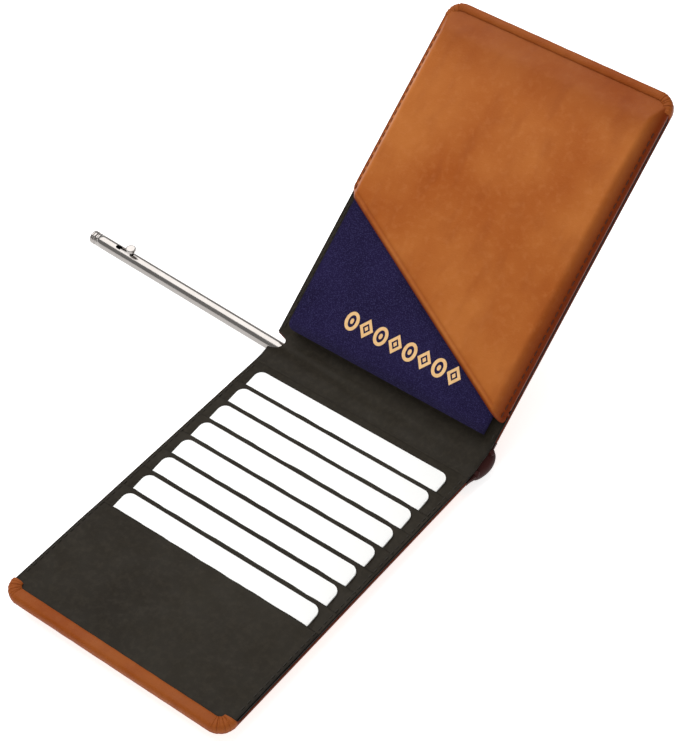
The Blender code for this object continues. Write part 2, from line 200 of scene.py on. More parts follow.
def surface(rows, wear_and_shade):
    """A surface through rows of points, with an amount kept for the material to darken: real wear
    on edges, and painted shade in some places.
    """
    bm = bmesh.new()
    layer = bm.verts.layers.float.new("wear_and_shade")
    grid = []
    for i, row in enumerate(rows):
        line = []
        for j, point in enumerate(row):
            vert = bm.verts.new(point)
            vert[layer] = wear_and_shade(i, j, point)
            line.append(vert)
        grid.append(line)
    for lower, upper in zip(grid, grid[1:]):
        for j in range(len(lower) - 1):
            bm.faces.new((lower[j], lower[j + 1], upper[j + 1], upper[j]))
    return bm


def face_away_from(bm, inside):
    """Turns a surface so that its front looks away from a point."""
    bm.normal_update()
    outward = sum(f.calc_area() * f.normal.dot(f.calc_center_median() - inside) for f in bm.faces)
    if outward < 0:
        bmesh.ops.reverse_faces(bm, faces=bm.faces)
    return bm


def close_rings(bm, rings):
    """Joins rings of vertices into a solid with a flat face at each end."""
    for lower, upper in zip(rings, rings[1:]):
        for i in range(len(lower)):
            j = (i + 1) % len(lower)
            bm.faces.new((lower[i], lower[j], upper[j], upper[i]))
    bm.faces.new(list(reversed(rings[0])))
    bm.faces.new(rings[-1])


def lathe(profile, sides):
    """A closed solid turned about X, from (x, radius) points; radius 0 is on the axis."""
    bm = bmesh.new()
    rings = []
    for x, radius in profile:
        if radius == 0:
            rings.append([bm.verts.new((x, 0, 0))])
            continue
        angles = [2 * math.pi * i / sides for i in range(sides)]
        rings.append([
            bm.verts.new((x, radius * math.cos(t), radius * math.sin(t))) for t in angles
        ])
    pairs = list(zip(rings, rings[1:]))
    if profile[0][1] > 0:
        pairs.append((rings[-1], rings[0]))
    for first, second in pairs:
        for i in range(sides):
            j = (i + 1) % sides
            corners = [first[i % len(first)], first[j % len(first)]]
            corners += [second[j % len(second)], second[i % len(second)]]
            bm.faces.new(list(dict.fromkeys(corners)))
    bmesh.ops.recalc_face_normals(bm, faces=bm.faces)
    return bm


# Materials


class Shader:
    """A material's nodes, with short calls for the few kinds used here."""

    def __init__(self, name, roughness, metallic=0.0, specular=0.2):
        self.material = bpy.data.materials.new(name)
        self.material.use_nodes = True
        self.tree = self.material.node_tree
        self.out = self.tree.nodes["Principled BSDF"]
        self.out.inputs["Roughness"].default_value = roughness
        self.out.inputs["Metallic"].default_value = metallic
        self.out.inputs["Specular IOR Level"].default_value = specular
        self.place = self.tree.nodes.new("ShaderNodeTexCoord").outputs["Object"]

    def node(self, kind, inputs, **settings):
        made = self.tree.nodes.new(kind)
        for key, value in settings.items():
            setattr(made, key, value)
        for key, value in inputs.items():
            if isinstance(value, bpy.types.NodeSocket):
                self.tree.links.new(value, made.inputs[key])
            else:
                made.inputs[key].default_value = value
        return made

    def noise(self, scale, detail=3.0, stretch=None):
        where = self.place
        if stretch:
            where = self.node("ShaderNodeMapping", {"Vector": where, "Scale": stretch}).outputs[0]
        inputs = {"Vector": where, "Scale": scale, "Detail": detail}
        return self.node("ShaderNodeTexNoise", inputs).outputs["Fac"]

    def cells(self, scale):
        inputs = {"Vector": self.place, "Scale": scale}
        return self.node("ShaderNodeTexVoronoi", inputs).outputs["Distance"]

    def threads(self, direction, scale, distortion):
        inputs = {"Vector": self.place, "Scale": scale, "Distortion": distortion,
                  "Detail": 1.0, "Detail Scale": 2.0}
        wave = self.node("ShaderNodeTexWave", inputs, bands_direction=direction)
        return wave.outputs["Fac"]

    def attribute(self, name):
        return self.node("ShaderNodeAttribute", {}, attribute_name=name).outputs["Fac"]

    def math(self, operation, first, second):
        return self.node("ShaderNodeMath", {0: first, 1: second}, operation=operation).outputs[0]

    def spread(self, value, low, high, new_low, new_high):
        inputs = {0: value, 1: low, 2: high, 3: new_low, 4: new_high}
        return self.node("ShaderNodeMapRange", inputs).outputs[0]

    def colours(self, share, first, second):
        inputs = {0: share, 6: (*first, 1.0), 7: (*second, 1.0)}
        return self.node("ShaderNodeMix", inputs, data_type="RGBA").outputs[2]

    def over(self, share, below, above):
        inputs = {0: share, 6: below, 7: (*above, 1.0)}
        return self.node("ShaderNodeMix", inputs, data_type="RGBA").outputs[2]

    def set(self, **sockets):
        for name, value in sockets.items():
            socket = self.out.inputs[name.replace("_", " ")]
            if isinstance(value, bpy.types.NodeSocket):
                self.tree.links.new(value, socket)
            else:
                socket.default_value = value

    def bump(self, height, depth, strength=1.0):
        inputs = {"Height": height, "Distance": depth * MM, "Strength": strength}
        self.set(Normal=self.node("ShaderNodeBump", inputs).outputs[0])


def tan_leather():
    s = Shader("tan_leather", 0.45, specular=0.08)
    cloud = s.spread(s.noise(28, 4), 0.32, 0.68, 0.0, 1.0)
    colour = s.colours(cloud, (0.29, 0.066, 0.0075), (0.405, 0.128, 0.026))
    fleck = s.spread(s.noise(420, 4), 0.50, 0.72, 0.0, 0.28)
    colour = s.over(fleck, colour, (0.44, 0.15, 0.04))
    dark = s.spread(s.noise(150, 5, (1.0, 0.4, 1.0)), 0.50, 0.80, 0.0, 0.35)
    colour = s.over(dark, colour, (0.21, 0.045, 0.008))
    # The attribute read here darkens the leather towards a dark tan up to 1, and above 1 towards a
    # dark maroon. It holds the real dark, worn edges, and also painted shade: in the corner pleats,
    # on the spine's domed end and along the pocket front's right side.
    wear_and_shade = s.attribute("wear_and_shade")
    colour = s.over(wear_and_shade, colour, (0.15, 0.022, 0.002))
    colour = s.over(s.math("SUBTRACT", wear_and_shade, 1.0), colour, (0.020, 0.007, 0.008))
    grain = s.math("ADD", s.cells(1500), s.math("MULTIPLY", s.noise(600, 4), 1.2))
    s.set(Base_Color=colour, Roughness=s.spread(s.noise(90, 4), 0.3, 0.7, 0.40, 0.56))
    s.bump(grain, 0.06, 0.55)
    return s.material


def dark_leather():
    s = Shader("charcoal_lining", 0.5, specular=0.07)
    cloud = s.spread(s.noise(22, 3), 0.34, 0.66, 0.0, 1.0)
    colour = s.colours(cloud, (0.0150, 0.0115, 0.0074), (0.0225, 0.0186, 0.0130))
    fleck = s.spread(s.noise(500, 3), 0.45, 0.75, 0.0, 0.4)
    colour = s.over(fleck, colour, (0.036, 0.029, 0.020))
    colour = s.over(s.attribute("wear_and_shade"), colour, (0.006, 0.005, 0.004))
    grain = s.math("ADD", s.cells(1700), s.math("MULTIPLY", s.noise(700, 3), 1.2))
    s.set(Base_Color=colour, Roughness=s.spread(s.noise(120, 4), 0.3, 0.7, 0.46, 0.62))
    s.bump(grain, 0.05, 0.5)
    return s.material


def thread(name, colour):
    s = Shader(name, 0.7)
    twist = s.noise(2400, 2, (1.0, 0.25, 1.0))
    lighter = tuple(min(1.0, 1.6 * c) for c in colour)
    s.set(Base_Color=s.colours(twist, colour, lighter))
    s.bump(twist, 0.05)
    return s.material


def blank_card():
    s = Shader("blank_card", 0.38)
    tone = s.noise(40, 2)
    s.set(Base_Color=s.colours(tone, (0.90, 0.905, 0.885), (0.955, 0.955, 0.945)))
    s.bump(s.noise(1800, 2), 0.01, 0.4)
    return s.material


def booklet_cloth():
    s = Shader("booklet_cloth", 0.62, specular=0.07)
    weave = s.math("MULTIPLY", s.threads("X", 560.0, 1.2), s.threads("Y", 480.0, 1.6))
    pebble = s.cells(1250)
    cloud = s.spread(s.noise(60, 4), 0.3, 0.7, 0.0, 1.0)
    colour = s.colours(cloud, (0.0065, 0.0035, 0.026), (0.0110, 0.0068, 0.040))
    speck = s.spread(s.noise(2600, 2), 0.50, 0.66, 0.0, 0.55)
    colour = s.over(speck, colour, (0.040, 0.036, 0.110))
    colour = s.over(s.attribute("wear_and_shade"), colour, (0.008, 0.006, 0.02))
    s.set(Base_Color=colour)
    s.bump(s.math("ADD", weave, pebble), 0.07, 0.8)
    return s.material


def gilt():
    s = Shader("gilt_foil", 0.36, 0.35)
    tone = s.noise(800, 3)
    s.set(Base_Color=s.colours(tone, (0.72, 0.42, 0.17), (0.90, 0.60, 0.30)))
    s.bump(s.noise(1600, 3), 0.03, 0.6)
    return s.material


def pages():
    s = Shader("booklet_pages", 0.85)
    leaves = s.noise(9000, 1, (0.02, 0.02, 1.0))
    s.set(Base_Color=s.colours(leaves, (0.66, 0.62, 0.54), (0.86, 0.83, 0.76)))
    s.bump(leaves, 0.05)
    return s.material


def steel(name, roughness):
    s = Shader(name, roughness, 1.0, 0.5)
    brushed = s.noise(900, 3, (0.06, 1.0, 1.0))
    s.set(Base_Color=s.colours(s.noise(120, 3), (0.27, 0.25, 0.235), (0.34, 0.32, 0.305)))
    s.set(Roughness=s.spread(brushed, 0.3, 0.7, roughness - 0.04, roughness + 0.07))
    s.bump(brushed, 0.008, 0.5)
    return s.material


def backing_cloth():
    s = Shader("backing_cloth", 0.9)
    weave = s.cells(2200)
    s.set(Base_Color=s.colours(weave, (0.03, 0.027, 0.024), (0.07, 0.063, 0.055)))
    s.bump(weave, 0.1)
    return s.material


def brass():
    s = Shader("brass", 0.28, 1.0)
    s.set(Base_Color=s.colours(s.noise(300, 3), (0.62, 0.42, 0.16), (0.80, 0.60, 0.30)))
    s.bump(s.noise(2000, 2), 0.01, 0.4)
    return s.material


def refill_plastic():
    s = Shader("refill_plastic", 0.4)
    s.set(Base_Color=s.colours(s.noise(200, 2), (0.03, 0.04, 0.16), (0.05, 0.06, 0.22)))
    s.bump(s.noise(1500, 2), 0.01, 0.4)
    return s.material


# Panels: the cover goes round the outline as one sheet, from its middle out to the edge, and
# at the free end on over the lining as the hem.


def stations():
    """Places round the outline: up one side, round the free end and down the other.

    They stand closer together where the hem begins and round the corners.
    """
    side = steps(0, 0.90, 26) + steps(0.91, 1, 9)
    path = [("left", share) for share in side]
    path += [("left corner", share) for share in steps(0, 1, 60)[1:]]
    path += [("end", share) for share in steps(-1, 1, 70)[1:]]
    path += [("right corner", share) for share in steps(0, 1, 60)[1:]]
    path += [("right", share) for share in reversed(side[:-1])]
    return path


def outline_point(station, inset, start):
    kind, share = station
    side = HALF_WIDTH - inset
    end = LENGTH - inset
    radius = min(max(CORNER - inset, TIGHTEST), side)
    turn = math.radians(90 * share)
    if kind == "left":
        return -side, mix(start, end - radius, share)
    if kind == "right":
        return side, mix(start, end - radius, share)
    if kind == "end":
        return share * (side - radius), end
    if kind == "left corner":
        return -side + radius - radius * math.cos(turn), end - radius + radius * math.sin(turn)
    return side - radius + radius * math.sin(turn), end - radius + radius * math.cos(turn)


def hem_share(station, start):
    """0 where the cover ends at the edge, 1 where it is turned over as a hem."""
    if station[0] not in ("left", "right"):
        return 1.0
    y = outline_point(station, 0, start)[1]
    return smooth((y - (LENGTH - HEM_UP_SIDES)) / HEM_FADE)


def pleat(station):
    """Gathers in the leather round a corner."""
    if "corner" not in station[0]:
        return 0.0
    share = station[1]
    window = smooth(share / 0.18) * smooth((1 - share) / 0.18)
    ridges = math.sin(share * 44) + 0.6 * math.sin(share * 71 + 1.0)
    return window * ridges * PLEAT_DEPTH


# (inset, level) on the sides, the same on the hem, and how far pleats move the point.
# Levels are counted from the lining's upper face.
EDGE_PROFILE = [
    ((0.40, -2.33), (0.40, -2.31), 0.0),
    ((0.14, -2.18), (0.05, -2.00), 0.2),
    ((0.02, -1.90), (-0.10, -1.30), 0.4),
    ((0.00, -1.50), (-0.18, -0.50), 0.7),
    ((0.02, -1.25), (-0.15, 0.25), 0.9),
    ((0.10, -1.08), (0.05, 0.95), 1.0),
    ((0.22, -1.00), (0.45, 1.42), 1.0),
    ((0.36, -0.97), (1.00, 1.70), 1.0),
    ((0.52, -0.96), (1.80, 1.84), 1.0),
    ((0.70, -0.96), (2.70, 1.86), 1.1),
    ((0.88, -0.96), (3.50, 1.80), 1.2),
    ((1.04, -0.97), (4.15, 1.68), 1.0),
    ((1.16, -0.98), (4.50, 1.50), 0.7),
    ((1.22, -1.00), (HEM_REACH, 1.22), 0.4),
]


def cover_rows(path, under, start, lift, reach):
    """Rows of the cover's outer face from its middle to the hem's inner edge.

    The cover starts at Y = start. The hem is lifted by lift and its inner edge lies at reach.
    """
    rows = []
    for inset, level in under:
        rows.append([(*outline_point(st, inset, start), level) for st in path])
    for number, ((side_in, side_z), (hem_in, hem_z), gather) in enumerate(EDGE_PROFILE):
        row = []
        for st in path:
            share = hem_share(st, start)
            raised = hem_z + lift * smooth(number / 6)
            fold = pleat(st) * gather
            over = mix(0.4, reach, (hem_in - 0.4) / (HEM_REACH - 0.4)) if hem_in > 0.4 else hem_in
            uneven = 0.10 * wander(st[1] * 9, number * 0.05, len(st[0])) * share
            x, y = outline_point(st, mix(side_in, over + uneven - 0.5 * fold, share), start)
            row.append((x, y, mix(side_z, raised + 0.9 * fold, share)))
        rows.append(row)
    return rows


def add_cover(name, leather, place, body, under, start, lift, reach, replaces):
    path = stations()
    rows = cover_rows(path, under, start, lift, reach)
    inner_rows = len(under)

    def wear_and_shade(i, j, point):
        st = path[j]
        if i < inner_rows:
            return 0.5 * smooth((i - inner_rows + 3) / 4)
        share = hem_share(st, start)
        at_edge = smooth(1 - abs(i - inner_rows - 1.5) / 3.5)
        at_lip = smooth((i - inner_rows - 9.5) / 4)
        # Painted shade: the hollows of the corner pleats are darkened.
        pleat_shade = smooth(-pleat(st) * 6)
        on_side = 1.3 + 0.4 * at_edge
        return mix(on_side, max(0.8 * at_edge, 0.75 * at_lip, 0.8 * pleat_shade, 0.5), share)

    bm = surface(rows, wear_and_shade)
    bmesh.ops.remove_doubles(bm, verts=bm.verts, dist=0.02)
    face_away_from(bm, Vector((0, LENGTH / 2, -1.2)))
    add_piece(name, bm, leather, place, body, replaces, 0.6)


# Distances in from the card side's edge, down the wall between its flange and its belly
WALL = [4.9, 4.3, 3.7, 3.1, 2.5, 1.9, 1.3, 0.8]
CARD_COVER_START = 5.4


def belly_level(from_edge):
    """Underside of the card side: a flat belly inside a raised, stitched flange."""
    return mix(FLANGE, BELLY, smooth((from_edge - 1.3) / 3.6))


def add_covers(leather):
    """Both covers. Each underside is a list of (distance in from the edge, level)."""
    middle = [HALF_WIDTH, 44.0, 30.0, 14.0, 7.0]
    under = [(d, belly_level(d)) for d in middle + WALL]
    add_cover("card_cover", leather, CARD_SIDE, "card_side", under, start=CARD_COVER_START,
              lift=-0.15, reach=HEM_REACH, replaces=("card_side_cover", "card_side_hem"))
    back = [HALF_WIDTH, 44.0, 38.0, 30.0, 22.0, 14.0, 9.0, 6.0, 4.0, 2.6, 1.6, 0.8]
    under = [(d, FLANGE - 0.7 * smooth(d / 16)) for d in back]
    add_cover("passport_cover", leather, PASSPORT_SIDE, "passport_side", under, start=3.0,
              lift=0.25, reach=3.3, replaces=("passport_side_cover", "passport_side_hem"))


def end_half(y, half, margin=0.0):
    """Half the width at y of a sheet whose free end has rounded corners."""
    radius = CORNER - margin
    into = radius - (LENGTH - margin - y)
    if into <= 0:
        return half
    return half - radius + math.sqrt(max(radius * radius - into * into, 0.0))


def side_columns(half):
    """Shares of the half width, closer together near the edges."""
    near = [0, 0.3, 0.7, 1.2, 1.8, 2.5, 3.2, 4.0, 4.8, 5.6, 6.5, 8.0, 10.0, 13.0]
    left = [-(half - d) / half for d in near]
    return left + steps(-(half - 17) / half, (half - 17) / half, 22) + [-x for x in reversed(left)]


def add_flat_linings(lining):
    """The linings under the pockets. They show at the edges and beside the booklet."""
    rounded_from = LENGTH - CORNER
    ys = steps(FOLD_REACH, rounded_from, 50) + steps(rounded_from, LENGTH - 1.5, 12)[1:]
    rows = []
    for y in ys:
        half = end_half(y, LINING_HALF, 1.35)
        rows.append([(u * half, y, -0.02) for u in side_columns(LINING_HALF)])

    def wear_and_shade(i, j, point):
        return smooth(1 - (LINING_HALF - abs(point[0])) / 0.8)

    for name, place, body in (
        ("card_lining", CARD_SIDE, "card_side"),
        ("passport_lining", PASSPORT_SIDE, "passport_side"),
    ):
        bm = face_away_from(surface(rows, wear_and_shade), Vector((0, LENGTH / 2, FAR_BELOW)))
        add_piece(name, bm, lining, place, body, (f"{body}_lining",), 0.75)


# Card pockets, in world millimetres


def lip_line(number, x):
    """Y of a pocket's lip, a little wavy as cut leather is. Pockets are numbered from the hem."""
    straight = FIRST_LIP + CARD_PITCH * number
    return straight + 0.22 * wander(x * 0.16, number * 7.3) + 0.10 * wander(x * 0.6, number * 3.1)


def pocket_level(number, x, y):
    """Upper face of a pocket panel: over its card in the middle, flat at the sides."""
    behind = y - (FIRST_LIP + CARD_PITCH * number)
    middle = LIP_TOP + math.tan(CARD_TILT) * behind
    side = SIDE_TOP + 0.02 * behind
    to_side = smooth((abs(x) - CARD_HALF + 0.1) / 3.0)
    return mix(middle, side, to_side)


def front_level(x, y):
    """Upper face of the large front panel, pillowed over the first card."""
    along = smooth((y - FIRST_LIP + 34) / 34)
    to_side = smooth((abs(x) - CARD_HALF + 2.5) / 5.6)
    middle = mix(FRONT_SIDE_TOP, LIP_TOP + 0.25, along)
    side = mix(FRONT_SIDE_TOP, SIDE_TOP + 0.05, smooth((y - FIRST_LIP + 12) / 12))
    pillow = 0.55 * math.sin(math.pi * min(max((y + LENGTH / 2) / 50, 0.0), 1.0))
    pillow *= 1 - (x / HALF_WIDTH) ** 2
    ripple = 0.10 * wander(x * 0.05, y * 0.06, 5.0)
    return mix(middle, side, to_side) + pillow + ripple * (1 - to_side)


def add_pocket_panels(lining):
    """The stepped panels. Each runs from its lip back under the panel before it."""
    backs = [-13.0, -11.0, -9.0, -7.0, -5.0, -3.4, -2.4, -1.8, -1.2, -0.8, -0.5, -0.3, -0.12, 0]

    def wear_and_shade(i, j, point):
        return 0.8 * smooth((backs[i] + 0.5) / 0.5)

    for number in range(1, POCKETS):
        rows = []
        for back in backs:
            row = []
            for u in side_columns(POCKET_HALF):
                x = u * POCKET_HALF
                y = lip_line(number, x) + back
                rounded = 0.10 * smooth(1 + back / 0.35) if back > -0.35 else 0.0
                row.append((x, y, pocket_level(number, x, y) - rounded))
            rows.append(row)
        bm = face_away_from(surface(rows, wear_and_shade), Vector((0, rows[0][0][1], FAR_BELOW)))
        add_piece(f"pocket_{number + 1}", bm, lining, Matrix(),
                  "card_side", (f"pocket_panel_{number + 1}",), 0.14)


def add_front_pocket(lining):
    """The large panel over the first card, from the hem to its creased lip."""
    near_lip = [-5.0, -3.8, -2.8, -2.0, -1.4, -1.0, -0.7, -0.45, -0.25, -0.1, 0]
    free_end = -LENGTH / 2
    ys = steps(free_end + 1.5, free_end + CORNER, 8) + steps(free_end + 9, FIRST_LIP - 6, 24)
    columns = side_columns(POCKET_HALF)
    rows = []
    for y in ys:
        half = end_half(LENGTH / 2 - y, POCKET_HALF, 1.6)
        rows.append([(u * half, y, front_level(u * half, y)) for u in columns])
    for back in near_lip:
        row = []
        for u in columns:
            x = u * POCKET_HALF
            y = lip_line(0, x) + back
            crease = 0.16 * math.exp(-((back + 1.9) / 0.28) ** 2)
            rounded = 0.22 * smooth(1 + back / 0.5) if back > -0.5 else 0.0
            row.append((x, y, front_level(x, y) - crease - rounded))
        rows.append(row)
    count = len(ys)

    def wear_and_shade(i, j, point):
        edge = smooth(1 - (POCKET_HALF - abs(point[0])) / 1.0) * 0.7
        if i < count:
            return edge
        return max(edge, 0.8 * smooth((near_lip[i - count] + 0.6) / 0.6))

    bm = face_away_from(surface(rows, wear_and_shade), Vector((0, -45, FAR_BELOW)))
    add_piece("front_pocket", bm, lining, Matrix(), "card_side",
              ("front_pocket_panel",), 0.4)


def add_top_strip(lining):
    """The lining between the last card and the spine. It goes down under the card."""
    last_top = FIRST_LIP + CARD_PITCH * (POCKETS - 1) + CARD_SHOWING
    far = HINGE_1.y / MM - FOLD_REACH
    seam_at = far - 1.0
    over_card = 8.36
    flat = LINING_Z + 0.02
    half = LINING_HALF - 0.1
    rows = []
    for y in steps(last_top - 12, last_top - 1, 8) + steps(last_top - 0.5, far, 16):
        behind = y - last_top
        middle = over_card + math.tan(CARD_TILT) * min(behind, 0.0)
        middle = mix(middle, flat, smooth(behind / (far - last_top)))
        side = flat + 0.22 * smooth(-behind / 6)
        seam = 0.13 * math.exp(-((y - seam_at) / 0.4) ** 2)
        row = []
        for u in side_columns(half):
            to_side = smooth((abs(u * half) - 42.5) / 3.2)
            row.append((u * half, y, mix(middle, side, to_side) - seam))
        rows.append(row)

    def wear_and_shade(i, j, point):
        return 0.6 * math.exp(-((point[1] - seam_at) / 0.5) ** 2)

    bm = face_away_from(surface(rows, wear_and_shade), Vector((0, 60, FAR_BELOW)))
    add_piece("top_strip", bm, lining, Matrix(), "card_side", thickness=0.3)


def add_cards(plastic):
    """Blank cards of the standard size, with rounded corners and softened edges."""
    height = 53.98
    thickness = 0.76
    radius = 3.18
    soft = 0.12
    half_height = height / 2
    face = thickness / 2
    layers = [(soft, -face), (0, soft - face), (0, face - soft), (soft, face)]
    corners = [(1, 1), (-1, 1), (-1, -1), (1, -1)]
    for number in range(1, POCKETS + 1):
        low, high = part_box(f"card_{number}")
        bm = bmesh.new()
        rings = []
        for inset, level in layers:
            ring = []
            for quarter, (sx, sy) in enumerate(corners):
                for turn in steps(quarter * 90, quarter * 90 + 90, 12):
                    t = math.radians(turn)
                    x = sx * (CARD_HALF - radius) + (radius - inset) * math.cos(t)
                    y = sy * (half_height - radius) + (radius - inset) * math.sin(t)
                    ring.append(bm.verts.new((x, y, level)))
            rings.append(ring)
        close_rings(bm, rings)
        place = Matrix.Translation((low + high) / 2) @ Matrix.Rotation(CARD_TILT, 4, "X")
        add_piece(f"blank_card_{number}", bm, plastic, place, f"card_{number}",
                  (f"card_{number}",))


# Spine: the lining bends smoothly over both hinges, and the cover hangs below it in a loop
# that holds the pen. Each is two pieces, one across each hinge.


def chain_point(along):
    """A point (Y, Z) in world mm on the three straight stretches of lining."""
    y, z = HINGE_1.y / MM, HINGE_1.z / MM
    if along < 0:
        return Vector((y + along, z))
    if along < SPAN:
        return Vector((y + along * math.cos(HALF_FOLD), z + along * math.sin(HALF_FOLD)))
    turn = 2 * HALF_FOLD
    rest = along - SPAN
    return Vector((HINGE_2.y / MM + rest * math.cos(turn), HINGE_2.z / MM + rest * math.sin(turn)))


def fold_point(along, raised):
    """A point (Y, Z) on the smoothed lining, raised above it by some mm."""
    reach = steps(-FOLD_REACH, FOLD_REACH, 12)
    centre = sum((chain_point(along + d) for d in reach), Vector((0, 0))) / len(reach)
    tangent = (chain_point(along + FOLD_REACH) - chain_point(along - FOLD_REACH)).normalized()
    return centre + Vector((-tangent.y, tangent.x)) * raised


def ridge(x, along):
    """How far the pen's channel pushes the lining up. It is askew, as the pen is."""
    centre = 4.9 - 0.035 * x
    height = 1.05 * mix(1.0, 0.55, smooth((x + HALF_WIDTH) / 80))
    return height * math.exp(-((along - centre) / 2.9) ** 2)


def notch_edge(along):
    """X of the spine lining's left edge, cut back by the finger notch."""
    off = (along - NOTCH_AT) / NOTCH_HALF
    if abs(off) >= 1:
        return -LINING_HALF
    return -LINING_HALF + NOTCH_DEPTH * math.sqrt(1 - off * off)


def add_fold_linings(lining):
    """The spine's lining, in two pieces that meet in the middle of the spine."""
    middle = SPAN / 2
    spans = (
        ("fold_lining_card", steps(-FOLD_REACH, middle, 22), "card_side", "spine", -2.0, 3.0),
        ("fold_lining_passport", steps(middle, SPAN + FOLD_REACH, 22), "spine", "passport_side",
         SPAN - 3.0, SPAN + 2.0),
    )
    for name, alongs, first, second, bend_from, bend_to in spans:
        rows = []
        for along in alongs:
            left = notch_edge(along)
            row = []
            for share in steps(0, 1, 60):
                x = mix(left, LINING_HALF, share)
                edge = 1 - smooth(1 - (LINING_HALF - abs(x)) / 2.0) * 0.8
                wrinkle = 0.06 * wander(x * 0.12, along * 0.5, 2.0)
                y, z = fold_point(along, ridge(x, along) * edge + wrinkle)
                row.append((x, y, z))
            rows.append(row)

        def wear_and_shade(i, j, point):
            return 0.5 * smooth(1 - (LINING_HALF - abs(point[0])) / 0.8)

        bm = face_away_from(surface(rows, wear_and_shade), Vector((0, 76, FAR_BELOW)))
        obj = add_piece(name, bm, lining, Matrix(), thickness=0.7)
        if name == "fold_lining_card":
            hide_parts("spine_lining")
        ends = (fold_point(bend_from, 0), fold_point(bend_to, 0))
        start, end = (Vector((0, p.x, p.y)) * MM for p in ends)
        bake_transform(obj)
        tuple(start)
        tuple(end)


# The loop's outline is an ellipse in the spine's frame. At its right end it closes in a dome.
LOOP_HALF = 6.6
LOOP_DROP = 4.3
LOOP_LEVEL = -5.33
LOOP_STEPS = 44
LOOP_FROM = math.radians(140)
LOOP_TO = math.radians(400)
DOME_FROM = 45.4
DOME_REACH = 5.0
DOME_SHARE = 0.72
MOUTH_TRIM = 6.5


def loop_point(turn, x):
    """A point (Y, Z) of the loop's outer face in the spine's frame."""
    y = SPAN / 2 + LOOP_HALF * math.cos(turn)
    z = LOOP_LEVEL + LOOP_DROP * math.sin(turn)
    sag = 0.18 * wander(x * 0.07, turn * 1.5, 8.0)
    return y, z - sag * smooth(-math.sin(turn))


def in_mm(place):
    """A body's place in world mm."""
    moved = place.copy()
    moved.translation = place.translation / MM
    return moved


def loop_row(shares, turn):
    """One row of the loop in the spine's frame, trimmed at the pen's mouth and domed at the end."""
    trimmed = MOUTH_TRIM * smooth((turn - LOOP_FROM) / 1.3)
    bulge = mix(0.62, 1.0, math.exp(-((turn - math.radians(285)) / 1.1) ** 2))
    row = []
    for share in shares:
        flat = mix(-HALF_WIDTH + trimmed, DOME_FROM, min(share / DOME_SHARE, 1.0))
        around = math.radians(180 * max(share - DOME_SHARE, 0) / (1 - DOME_SHARE))
        x = flat + DOME_REACH * math.sin(around) * bulge
        closed = (1 - math.cos(around)) / 2
        y, z = loop_point(turn, x)
        y = mix(y, SPAN / 2 + (y - SPAN / 2) * 0.75, closed)
        z = mix(z, -1.0, closed)
        row.append(Vector((x, y, z)))
    return row


def wrap_rows():
    """Rows along X from the card side's edge, round the loop, to the passport side's edge.

    Also gives the number of the row at the bottom of the loop, where its two pieces meet.
    """
    spine, card, passport = in_mm(SPINE), in_mm(CARD_SIDE), in_mm(PASSPORT_SIDE)
    shares = steps(0, DOME_SHARE, 44) + steps(DOME_SHARE, 1, 22)[1:]
    rows = []
    for s in (CARD_COVER_START, *WALL, 0.4):
        right = HALF_WIDTH + 0.9 * (1 - smooth(s / 5))
        row = []
        for share in shares:
            x = mix(-HALF_WIDTH, right, share)
            from_edge = min(HALF_WIDTH - abs(x), s)
            row.append(card @ Vector((-x, s, belly_level(from_edge))))
        rows.append(row)
    bottom = len(rows) + LOOP_STEPS // 2
    for turn in steps(LOOP_FROM, LOOP_TO, LOOP_STEPS):
        rows.append([spine @ point for point in loop_row(shares, turn)])
    for s in (0.4, 0.9, 1.6, 2.4, 3.2):
        xs = [mix(-HALF_WIDTH, HALF_WIDTH, share) for share in shares]
        rows.append([passport @ Vector((x, s, FLANGE)) for x in xs])
    return rows, bottom


def add_wrap(leather):
    """The spine's leather, in two pieces that meet at the bottom of the loop."""
    rows, bottom = wrap_rows()
    inside = Vector((0, 76.5, 5.0))

    def wear_and_shade(i, j, point):
        # Painted shade: the right end, where the loop closes in a dome, is darkened to a dark
        # maroon, beyond the edge's own dark colour. The cut edge at the pen's mouth on the left is
        # darkened too, and the rest of the spine's leather a little.
        right = smooth((point[0] - 40) / 7) * 1.9
        left = smooth((-41 - point[0]) / 3) * 1.3
        return max(right, left, 0.3)

    parts = (
        ("spine_wrap_card", rows[: bottom + 1], "card_side", "spine", -2.0, 4.5),
        ("spine_wrap_passport", rows[bottom:], "spine", "passport_side", 9.3, 13.0),
    )
    for name, part, first, second, bend_from, bend_to in parts:
        bm = face_away_from(surface(part, wear_and_shade), inside)
        obj = add_piece(name, bm, leather, Matrix(), thickness=1.1)
        if name == "spine_wrap_card":
            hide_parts("spine_cover")
        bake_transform(obj)


# Passport pocket and booklet, in the passport side's frame


def diagonal(x):
    """The pocket front's lower edge, with its two corners rounded."""
    share = (x + LINING_HALF) / (2 * LINING_HALF)
    line = mix(DIAGONAL_LEFT, DIAGONAL_RIGHT, share)
    corner = 2.4
    from_side = LINING_HALF - abs(x)
    if from_side >= corner:
        return line
    rise = corner - math.sqrt(corner ** 2 - (corner - from_side) ** 2)
    return line + rise * (0.5 if x < 0 else 1.0)


def front_height(x, y):
    """Upper face of the pocket's front over the booklet and its stitched flanges."""
    from_side = HALF_WIDTH - abs(x)
    from_end = LENGTH - y
    rise = min(smooth((from_side - 0.6) / 4.6), smooth((from_end - 2.2) / 10.6))
    crown = 0.7 * (1 - (x / HALF_WIDTH) ** 2) * smooth(from_end / 40)
    ripple = 0.22 * wander(x * 0.035, y * 0.03, 3.0) + 0.05 * wander(x * 0.12, y * 0.1, 4.0)
    return 1.35 + (BOOKLET_TOP + 0.15 + crown + ripple) * rise


